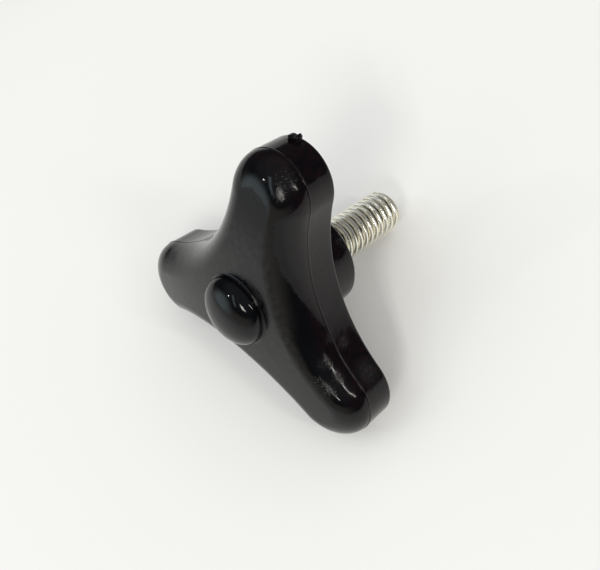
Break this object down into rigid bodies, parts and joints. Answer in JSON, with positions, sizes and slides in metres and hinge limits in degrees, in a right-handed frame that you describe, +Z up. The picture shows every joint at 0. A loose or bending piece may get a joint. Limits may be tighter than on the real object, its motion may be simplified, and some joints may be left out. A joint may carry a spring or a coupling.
{
  "type": "thumb screw",
  "caption": "Lobed hand knob moulded on a threaded steel stud, with a domed centre and a round hub behind; turned by hand to clamp or adjust.",
  "frame": {"origin": "on the surface the screw lies on, under the middle of its box", "axes": "+Z up; +Y along the stud's lie, from the knob's dome towards the stud's tip; +X across the two lower lobes"},
  "size_m": [0.0506, 0.0408, 0.0434],
  "materials": {
    "black_plastic": "glossy black moulded plastic, lightly scuffed",
    "zinc_steel": "bright zinc plating on rolled threads"
  },
  "bodies": {
    "root": {"knob_head": "black_plastic", "threaded_stud": "zinc_steel"}
  },
  "joints": []
}
